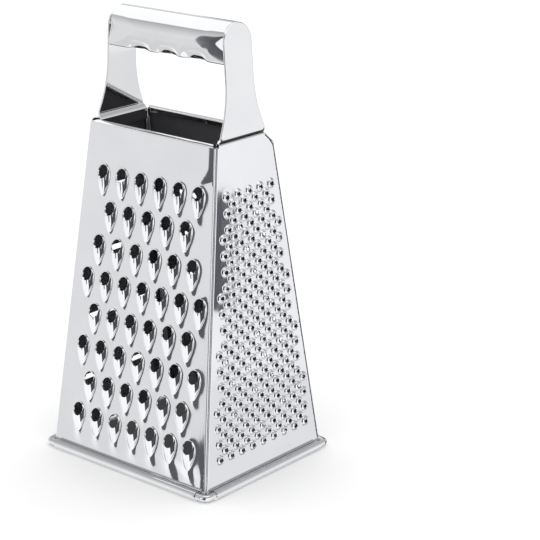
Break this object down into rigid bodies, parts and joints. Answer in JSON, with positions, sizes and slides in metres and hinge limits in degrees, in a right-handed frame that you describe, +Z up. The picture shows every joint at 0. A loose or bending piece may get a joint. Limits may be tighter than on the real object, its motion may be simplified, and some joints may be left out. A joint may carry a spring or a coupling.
{
  "type": "box grater",
  "caption": "Free-standing tapered box grater of polished sheet steel with coarse, fine, medium and slicing sides, a wired base edge and a tubular grip with finger grooves.",
  "frame": {"origin": "on the standing plane under the middle of the body", "axes": "+Z up, the coarse panel faces -Y, the fine panel faces +X"},
  "size_m": [0.1228, 0.1018, 0.24],
  "materials": {
    "panel_steel": "mirror-polished stainless sheet",
    "wire_steel": "bright drawn stainless wire",
    "seam_steel": "plain folded stainless strip",
    "handle_steel": "mirror-polished stainless sheet"
  },
  "bodies": {
    "root": {"front_panel": "panel_steel", "right_panel": "panel_steel", "back_panel": "panel_steel", "left_panel": "panel_steel", "base_wire": "wire_steel", "corner_cleat_front_left": "seam_steel", "corner_cleat_front_right": "seam_steel", "corner_cleat_back_left": "seam_steel", "corner_cleat_back_right": "seam_steel", "end_plate_left": "handle_steel", "end_plate_right": "handle_steel", "grip_shell": "handle_steel", "grip_underside": "handle_steel"}
  },
  "joints": []
}
